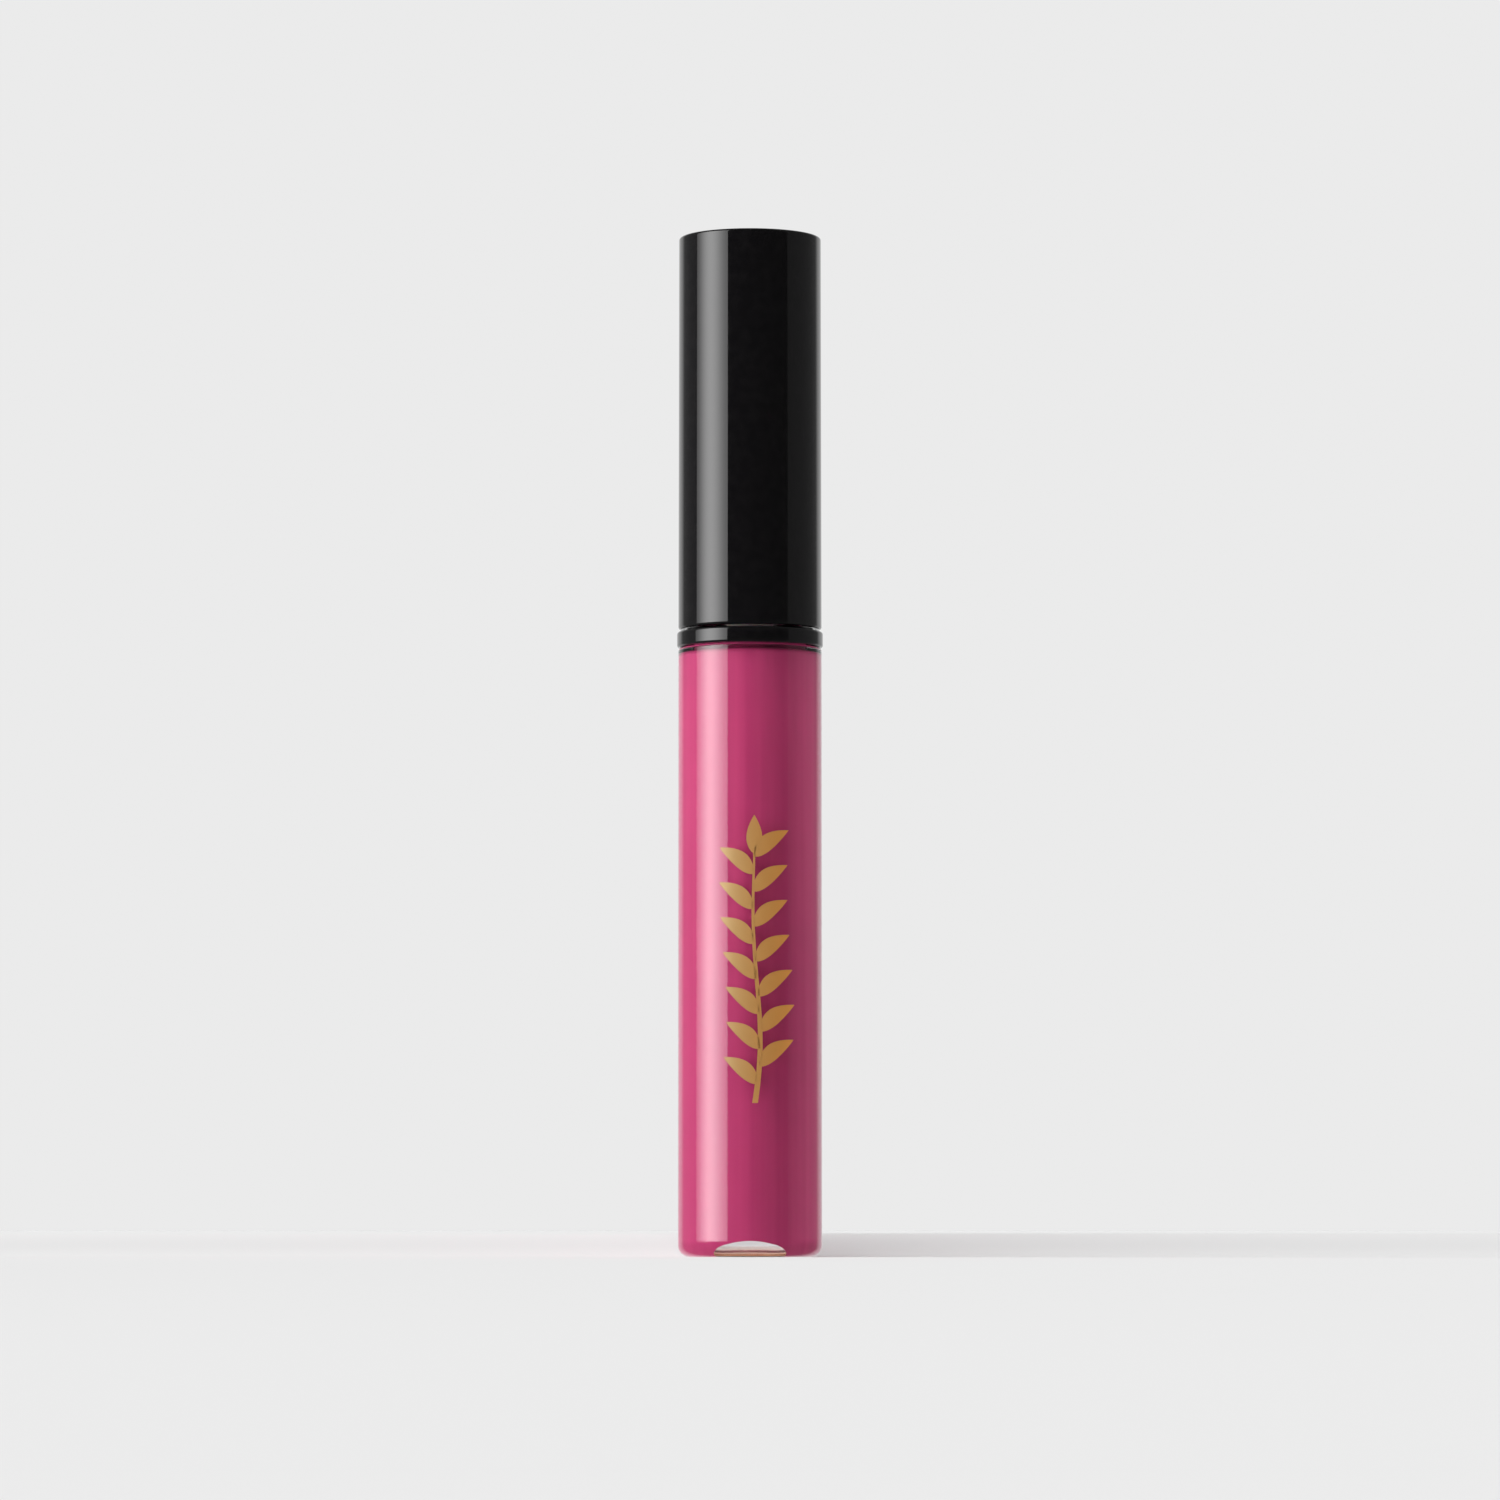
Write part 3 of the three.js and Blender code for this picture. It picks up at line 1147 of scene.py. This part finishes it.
@dataclass
class NeckFittings:
    """The wiper pressed into the neck, and the washer that seals the closed cap on it."""

    wiper: Extent
    washer: Extent
    flange: float = 0.6 * MM
    sleeve: float = 3.85 * MM
    bore: float = 3.1 * MM
    lip: float = 2.15 * MM
    lip_edge: float = 0.3 * MM
    cone_height: float = 2.8 * MM
    crisp: float = 0.08 * MM
    sleeve_round: float = 0.3 * MM
    flange_round: float = 0.2 * MM
    mouth_round: float = 0.25 * MM
    cone_round: float = 0.4 * MM
    washer_bore: float = 2.12 * MM
    washer_round: float = 0.1 * MM
    facets: int = 96

    def build(self) -> None:
        """Turns both pieces."""
        natural = SoftMoulding("natural_wiper", (0.78, 0.72, 0.70), (0.70, 0.60, 0.60), 0.3, subsurface=0.2)
        foam = SoftMoulding("white_foam", (0.82, 0.80, 0.77), (0.68, 0.66, 0.63), 0.6, 6000.0, 0.03 * MM)
        settle(self.make_wiper(), Body.BOTTLE, "natural_wiper", natural.make(), "wiper")
        settle(self.make_washer(), Body.WASHER, "white_washer", foam.make(), "sealing_washer")

    def make_wiper(self) -> Object:
        """Turns the wiper: flange, sleeve and the cone that ends in the wiping lip.

        Returns:
            The wiper.
        """
        low, seat, top = self.wiper.bottom, self.wiper.top - self.flange, self.wiper.top
        outline = Outline(closed=True).through(
            (self.lip, low, self.crisp),
            (self.lip + self.lip_edge, low, self.crisp),
            (self.sleeve, low + self.cone_height - self.lip_edge, self.sleeve_round),
            (self.sleeve, seat),
            (self.wiper.radius, seat, self.crisp),
            (self.wiper.radius, top, self.flange_round),
            (self.bore, top, self.mouth_round),
            (self.bore, low + self.cone_height, self.cone_round),
            (self.lip, low + self.lip_edge, self.crisp),
        )
        return turn("wiper_insert", outline, self.facets)

    def make_washer(self) -> Object:
        """Turns the washer.

        Returns:
            The washer.
        """
        low, high = self.washer.bottom, self.washer.top
        section = (
            (self.washer_bore, high),
            (self.washer_bore, low),
            (self.washer.radius, low),
            (self.washer.radius, high),
        )
        outline = Outline(closed=True).through(*((*corner, self.washer_round) for corner in section))
        return turn("washer_ring", outline, self.facets)


# ---- Cap and wand ----


@dataclass
class ScrewCap:
    """Glossy outer cap and the threaded liner pressed into it."""

    shell: Extent
    liner: Extent
    head_radius: float = 7.95 * MM
    bore: float = 7.0 * MM
    crown: float = 1.2 * MM
    edge: float = 0.3 * MM
    liner_bore: float = 6.25 * MM
    deck: float = 83.05 * MM
    deck_thickness: float = 1.5 * MM
    socket_radius: float = 3.2 * MM
    socket_bore: float = 2.05 * MM
    socket_cover: float = 1.5 * MM
    lead_in: float = 0.1 * MM
    facets: int = 96
    thread: Thread = Thread()
    thread_crest: float = 6.02 * MM

    def build(self, black: Material) -> None:
        """Builds both pieces.

        Args:
            black: the polished black finish.
        """
        satin = SoftMoulding("satin_liner", (0.016, 0.015, 0.017), (0.03, 0.028, 0.031), 0.35).make()
        settle(self.make_shell(), Body.CAP, "black_cap", black, "cap_shell")
        settle(self.make_liner(), Body.CAP, "black_liner", satin, "inner_cap")

    def make_shell(self) -> Object:
        """Turns the outer cap.

        Returns:
            The cap shell.
        """
        ceiling = self.shell.top - self.crown
        outline = Outline(steps=8).through(
            (0.0, ceiling),
            (self.bore, ceiling, self.edge),
            (self.bore, self.shell.bottom, self.edge),
            (self.shell.radius, self.shell.bottom, self.edge),
            (self.head_radius, self.shell.top, self.edge),
            (0.0, self.shell.top),
        )
        return turn("cap_gloss", outline)

    def make_liner(self) -> Object:
        """Turns the liner with its rod socket, and joins its thread to the skirt.

        Returns:
            The liner.
        """
        ceiling, cover = self.deck - self.deck_thickness, self.liner.top - self.socket_cover
        low, top, outer, inner = self.liner.bottom, self.liner.top, self.liner.radius, self.liner_bore - MM
        outline = Outline().through(
            (0.0, cover),
            (self.socket_bore, cover),
            (self.socket_bore, ceiling, self.lead_in),
            (self.liner_bore, ceiling, self.edge),
            (self.liner_bore, low, self.edge),
            (outer, low, self.lead_in),
            (outer, self.deck, self.edge),
            (self.socket_radius, self.deck, self.edge),
            (self.socket_radius, top, self.edge),
            (0.0, top),
        )
        liner = turn("cap_liner", outline, self.facets)
        thread = self.thread
        ridge = thread.ridge("liner_thread", self.thread_crest + thread.section, thread.lead / 2)
        skirt = Outline(closed=True).through((inner, low), (outer, low), (outer, ceiling), (inner, ceiling))
        combine(ridge, Meeting.SHARE, turn("liner_skirt", skirt, self.facets))
        combine(liner, Meeting.JOIN, ridge)
        return liner


@dataclass
class Wand:
    """Rod and slanted flocked applicator, fixed in the cap."""

    rod: Extent
    core: Extent
    flock: Extent
    edge: float = 0.3 * MM
    plug_radius: float = 1.0 * MM
    plug_length: float = 6.0 * MM
    plug_round: float = 0.2 * MM
    clearance: float = 0.05 * MM
    mouth_round: float = 0.1 * MM
    sleeve_inset: float = 0.2 * MM
    fibre_length: float = 0.17 * MM
    fibre_taper: float = 0.06 * MM
    fibre_pitch: float = 0.19 * MM
    fibre_crease: float = 20.0
    film_height: float = 52.0 * MM
    film_fade: float = 24.0 * MM
    slant: float = 22.0
    slant_centre: float = 4.0 * MM
    tip_round: float = 2.6 * MM
    tip_steps: int = 10
    rod_facets: int = 64
    tip_facets: int = 48

    def build(self) -> None:
        """Builds the rod, the core and the flock."""
        gloss = (0.80, 0.09, 0.25)
        film_top = self.rod.bottom + self.film_height
        rod = WetRod("wand_plastic", (0.012, 0.011, 0.013), gloss, film_top, self.film_fade).make()
        core = SoftMoulding("natural_core", (0.80, 0.78, 0.74), (0.70, 0.66, 0.62), 0.35).make()
        flock = Flock("gloss_flock", gloss, (0.88, 0.22, 0.40)).make()
        settle(self.make_rod(), Body.CAP, "black_rod", rod, "rod")
        settle(self.make_core(), Body.CAP, "natural_core", core, "applicator_core")
        sleeve = self.make_flock()
        settle(sleeve, Body.CAP, "pink_flock", flock, "applicator_flock", crease=self.fibre_crease)

    def make_rod(self) -> Object:
        """Turns the rod with the socket for the applicator in its end.

        Returns:
            The rod.
        """
        socket, socket_top = self.plug_radius + self.clearance, self.rod.bottom + self.plug_length
        outline = Outline().through(
            (0.0, socket_top),
            (socket, socket_top),
            (socket, self.rod.bottom, self.mouth_round),
            (self.rod.radius, self.rod.bottom, self.edge),
            (self.rod.radius, self.rod.top, self.edge / 2),
            (0.0, self.rod.top),
        )
        return turn("wand_rod", outline, self.rod_facets)

    def cut_slant(self, tip: Object, inset: float) -> None:
        """Cuts the slanted face off a tip.

        Args:
            tip: the closed tip.
            inset: how far inside the applicator's own face the cut lies.
        """
        angle = math.radians(self.slant)
        away = Vector((math.cos(angle), 0.0, -math.sin(angle)))
        centre = Vector((0.0, 0.0, self.flock.bottom + self.slant_centre)) - away * inset
        with editing(tip):
            bpy.ops.mesh.bisect(plane_co=centre, plane_no=away, use_fill=True, clear_outer=True)

    def tip_outline(self, radius: float, bottom: float, top: float) -> Outline:
        """Half the section of a round-ended tip.

        Args:
            radius: its radius.
            bottom: the height of its end.
            top: the height where it is cut off flat.

        Returns:
            The outline.
        """
        outline = Outline()
        for index in range(self.tip_steps):
            angle = QUARTER_TURN * index / self.tip_steps
            outline.through((radius * math.sin(angle), bottom + self.tip_round * (1 - math.cos(angle))))
        return outline.through((radius, bottom + self.tip_round), (radius, top), (0.0, top))

    def make_core(self) -> Object:
        """Models the core: a plug that sits in the rod and a slanted foot.

        Returns:
            The core.
        """
        foot_top = self.rod.bottom - self.clearance
        outline = self.tip_outline(self.core.radius, self.core.bottom, foot_top)
        core = turn("applicator_core_moulding", outline, self.tip_facets)
        self.cut_slant(core, self.flock.radius - self.core.radius)
        plug = Outline().through(
            (0.0, foot_top - MM),
            (self.plug_radius, foot_top - MM),
            (self.plug_radius, self.core.top, self.plug_round),
            (0.0, self.core.top),
        )
        combine(core, Meeting.JOIN, turn("core_plug", plug, self.tip_facets))
        return core

    def make_flock(self) -> Object:
        """Models the flocked sleeve and raises a short fibre from every face of its skin.

        Returns:
            The flocked sleeve.
        """
        inset = self.sleeve_inset
        bottom = self.flock.bottom + inset
        outline = self.tip_outline(self.flock.radius - inset, bottom, self.flock.top - inset)
        sleeve = turn("applicator_flocking", outline, self.tip_facets)
        self.cut_slant(sleeve, inset)
        apply_modifier(sleeve, "REMESH", mode="VOXEL", voxel_size=self.fibre_pitch, use_smooth_shade=True)
        with editing(sleeve):
            bpy.ops.mesh.normals_make_consistent(inside=False)
            bpy.ops.mesh.inset(use_individual=True, thickness=self.fibre_taper, depth=self.fibre_length)
        return sleeve


# ---- Studio ----


@dataclass
class Softbox:
    """A glowing panel that stands upright and faces the tube; the camera doesn't see it."""

    name: str
    nearest: float
    farthest: float
    distance: float
    low: float
    high: float
    core: float
    near_rim: float
    far_rim: float

    def build(self) -> Object:
        """Builds the panel across its two bearings, measured from the camera's side towards -X.

        Returns:
            The panel.
        """
        bearing = math.radians((self.nearest + self.farthest) / 2)
        half = self.distance * math.tan(math.radians(abs(self.farthest - self.nearest) / 2))
        panel = add(self.name, bpy.ops.mesh.primitive_grid_add, x_subdivisions=8, y_subdivisions=8, size=2.0)
        panel.scale = (half, (self.high - self.low) / 2, 1.0)
        bpy.ops.object.transform_apply()
        panel.rotation_euler = (QUARTER_TURN, 0.0, math.pi - bearing)
        panel.location = (
            -math.sin(bearing) * self.distance,
            -math.cos(bearing) * self.distance,
            (self.low + self.high) / 2,
        )
        panel.data.materials.append(self.glow(half))
        panel.visible_camera = False
        panel.visible_shadow = False
        return panel

    def glow(self, half: float) -> Material:
        """Makes the panel's light: bright along its middle, dimmer to its sides.

        Args:
            half: half the panel's width.

        Returns:
            The material.
        """
        box = Paintbox(f"{self.name}_glow")
        across = box.axis("X")
        near = box.eased(across, (-half, 0.0), (self.near_rim / self.core, 1.0))
        far = box.eased(across, (0.0, half), (1.0, self.far_rim / self.core))
        strength = box.math("MULTIPLY", box.math("MULTIPLY", near, far), self.core)
        box.show(box.node("ShaderNodeEmission", {"Strength": strength}).outputs["Emission"])
        return box.material


@dataclass
class Studio:
    """Pale floor and surroundings, soft side light and the camera."""

    pale: float = 0.83
    floor_size: float = 30.0
    floor_albedo: float = 0.81
    # painted shade: the paper's darker tone on its slope
    slope_shade_albedo: float = 0.73
    rise: float = 2.6 * MM
    rise_start: float = 7.0 * MM
    rise_run: float = 20.0 * MM
    rise_steps: int = 16
    sun_strength: float = 4.2
    sun_elevation: float = 38.0
    sun_bearing: float = 52.0
    sun_angle: float = 90.0
    left_fill: float = 1.1
    right_fill: float = 1.5
    fill_elevation: float = 15.0
    fill_bearing: float = 112.0
    fill_angle: float = 50.0
    lens: float = 156.8
    camera_distance: float = 0.7267
    camera_height: float = 0.00288
    camera_tilt: float = 4.21

    def build(self) -> None:
        """Builds the floor, the lights and the camera."""
        softbox = Softbox("left_softbox", 36.0, 95.0, 0.45, 0.001, 0.46, 7.0, 2.7, 1.5).build()
        self.surroundings()
        floor = self.floor()
        broad = self.sun(
            "broad_light", self.sun_strength, self.sun_elevation, self.sun_bearing, self.sun_angle, floor
        )
        broad.data.cycles.use_multiple_importance_sampling = False
        colours = [bpy.data.objects[name] for name in ("gloss_cream", "foil_sprig")]
        fills = (("left_fill", self.left_fill, 1), ("right_fill", self.right_fill, -1))
        for name, strength, side in fills:
            self.sun(name, strength, self.fill_elevation, side * self.fill_bearing, self.fill_angle, *colours)
        self.link_light(softbox, Reach.ALL_BUT, floor)
        self.camera()

    def floor(self) -> Object:
        """Lays the floor: paper that rises a little behind the tube.

        Returns:
            The floor.
        """
        half = self.floor_size / 2
        place = (0.0, self.rise_start - half, 0.0)
        floor = add("studio_floor", bpy.ops.mesh.primitive_plane_add, size=self.floor_size, location=place)
        bpy.ops.object.transform_apply()
        select_where(floor, lambda co: co.y > self.rise_start - MM)
        angles = [QUARTER_TURN * index / self.rise_steps for index in range(self.rise_steps + 1)]
        climb = [self.rise * math.sin(angle) ** 2 for angle in angles]
        steps = [(0.0, self.rise_run / self.rise_steps, high - low) for low, high in zip(climb, climb[1:])]
        with editing(floor, everything=False):
            for step in (*steps, (0.0, half, 0.0)):
                bpy.ops.mesh.extrude_edges_move(TRANSFORM_OT_translate={"value": step})
        smooth(floor)
        paper = MattPaper("matt_paper", self.floor_albedo, self.slope_shade_albedo, self.rise_start, self.rise_run)
        floor.data.materials.append(paper.make())
        floor.visible_glossy = False
        return floor

    def surroundings(self) -> None:
        """Lights the room: dark behind the camera, dim at the sides and pale behind the tube.

        The camera itself, and what it sees through clear plastic, meets the same pale tone all round.
        """
        world = bpy.data.worlds.new("room")
        bpy.context.scene.world = world
        world.use_nodes = True
        room = NodeBench(world.node_tree, "Generated")
        depth = room.spread(room.axis("Y"), (-1.0, 1.0), (0.0, 1.0))
        ramp = room.node("ShaderNodeValToRGB", {"Fac": depth})
        stops = ((0.0, 0.04), (0.272, 0.05), (0.284, 0.18), (0.7, 0.2), (0.84, 0.24), (0.9, self.pale))
        elements = ramp.color_ramp.elements
        while len(elements) < len(stops):
            elements.new(0.5)
        for element, (position, tone) in zip(elements, stops):
            element.position = position
            element.color = (tone, tone, tone, 1.0)
        rays = room.node("ShaderNodeLightPath").outputs
        direct = room.math("MAXIMUM", rays["Is Camera Ray"], rays["Is Transmission Ray"])
        tone = room.mix(direct, ramp.outputs["Color"], (self.pale,) * 3)
        room.feed(room.tree.nodes["Background"].inputs["Color"], tone)

    def sun(
        self, name: str, strength: float, elevation: float, bearing: float, angle: float, *lit: Object
    ) -> Object:
        """Adds a broad, soft light that reaches only some objects.

        Args:
            name: the light's name.
            strength: its strength.
            elevation: how high it stands, in degrees.
            bearing: where it stands, in degrees from the camera's side towards -X.
            angle: how wide it is, in degrees.
            *lit: the objects that it lights.

        Returns:
            The light.
        """
        sun = add(name, bpy.ops.object.light_add, type="SUN")
        sun.data.energy = strength
        sun.data.angle = math.radians(angle)
        sun.rotation_euler = (math.radians(90.0 - elevation), 0.0, -math.radians(bearing))
        self.link_light(sun, Reach.ONLY, *lit)
        return sun

    def link_light(self, light: Object, reach: Reach, *receivers: Object) -> None:
        """Says which objects a light reaches.

        Args:
            light: the light.
            reach: whether it reaches only the objects, or all but those.
            *receivers: the objects.
        """
        group = bpy.data.collections.new(f"{light.name}_receivers")
        for index, receiver in enumerate(receivers):
            group.objects.link(receiver)
            group.collection_objects[index].light_linking.link_state = reach.value
        light.light_linking.receiver_collection = group

    def camera(self) -> None:
        """Stands the camera low in front of the tube, tilted a little up."""
        place = (0.0, -self.camera_distance, self.camera_height)
        tilt = (math.radians(90.0 + self.camera_tilt), 0.0, 0.0)
        camera = add("Camera", bpy.ops.object.camera_add, location=place, rotation=tilt)
        camera.data.lens = self.lens
        camera.data.clip_start = 10 * MM
        camera.data.clip_end = 2 * self.floor_size
        bpy.context.scene.camera = camera
        bpy.context.scene.view_settings.view_transform = "Standard"


def main() -> None:
    """Builds the tube's pieces and the studio, and notes the model's size."""
    logging.basicConfig(level=logging.INFO, format="%(name)s: %(message)s")
    black = PolishedPlastic(
        "polished_black", (0.0035, 0.0032, 0.0038), (0.006, 0.0055, 0.006), (0.03, 0.075)
    ).make()
    bottle_box, collar_box = Extent.of("bottle"), Extent.of("collar")
    Bottle(bottle_box, bottle_box.top).build()
    TrimCollar(collar_box).build(black)
    NeckFittings(Extent.of("wiper"), Extent.of("sealing_washer")).build()
    ScrewCap(Extent.of("cap_shell"), Extent.of("inner_cap")).build(black)
    Wand(Extent.of("rod"), Extent.of("applicator_core"), Extent.of("applicator_flock")).build()
    Studio().build()


if __name__ == "__main__":
    main()
